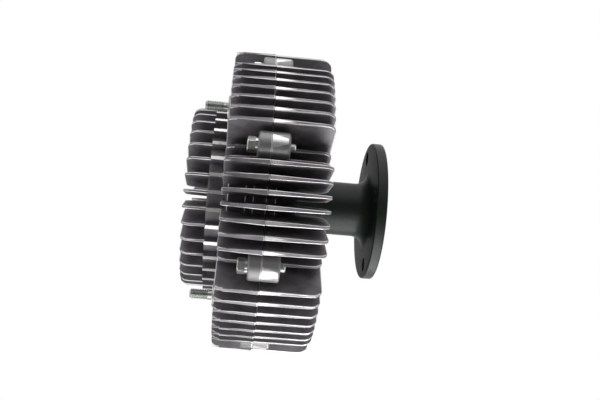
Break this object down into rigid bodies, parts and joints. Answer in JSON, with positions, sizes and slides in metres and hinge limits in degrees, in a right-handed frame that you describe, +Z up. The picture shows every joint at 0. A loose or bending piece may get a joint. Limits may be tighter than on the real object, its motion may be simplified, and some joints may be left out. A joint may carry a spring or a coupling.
{
  "type": "viscous fan clutch",
  "caption": "Viscous fan clutch: finned aluminium drum turning on a flanged hub, with a fluid rotor, a bimetal coil valve and studs for a cooling fan.",
  "frame": {"origin": "centre of the hub's mounting face, on the clutch axis", "axes": "+X out of the mounting face along the clutch axis, towards the water pump; the fan side faces -X; +Z up; one fan stud pair stands above and one below the axis"},
  "size_m": [0.1218, 0.19, 0.19],
  "materials": {
    "hub_paint": "dark green-black paint over cast iron, satin",
    "rotor_metal": "turned",
    "spring_steel": "phosphated spring steel",
    "rear_casting": "as cast, tips turned bright",
    "front_casting": "as cast, pilot land turned bright",
    "bearing_steel": "ground",
    "ball_steel": "polished",
    "cage_brass": "pressed",
    "seal_rubber": "matt",
    "plate_steel": "pressed sheet",
    "zinc_steel": "zinc plated, faint green tint",
    "bimetal": "rolled strip"
  },
  "bodies": {
    "hub": {"hub_shaft": "hub_paint", "rotor": "rotor_metal", "rotor_clip": "spring_steel", "bearing_inner_ring": "bearing_steel"},
    "housing": {"rear_body": "rear_casting", "front_cover": "front_casting", "bearing_outer_ring": "bearing_steel", "bearing_front_seal": "seal_rubber", "bearing_rear_seal": "seal_rubber", "bearing_clip": "spring_steel", "divider_plate": "plate_steel", "divider_screws": "zinc_steel", "bimetal_coil": "bimetal", "coil_bracket": "plate_steel", "bracket_screws": "zinc_steel", "cover_seal": "seal_rubber", "clamp_bolts": "zinc_steel", "spring_washers": "zinc_steel", "fan_studs": "zinc_steel"},
    "bearing_train": {"bearing_balls": "ball_steel", "bearing_cage": "cage_brass"},
    "valve": {"valve_shaft": "bearing_steel", "valve_arm": "plate_steel", "valve_seal": "seal_rubber", "valve_clip": "spring_steel"}
  },
  "joints": [
    {"name": "housing_spin", "type": "hinge", "parent": "hub", "child": "housing", "pos_m": [-0.063, 0, 0], "axis": [1, 0, 0], "continuous": true},
    {"name": "bearing_roll", "type": "hinge", "parent": "hub", "child": "bearing_train", "pos_m": [-0.063, 0, 0], "axis": [1, 0, 0], "continuous": true},
    {"name": "valve_turn", "type": "hinge", "parent": "housing", "child": "valve", "pos_m": [-0.09, 0, 0], "axis": [-1, 0, 0], "range_deg": [0, 35], "stiffness_Nm_per_rad": 0.05, "deforming": ["bimetal_coil"]}
  ],
  "couplings": [
    {"joint": "bearing_roll", "follows": "housing_spin", "ratio": 0.6026}
  ]
}
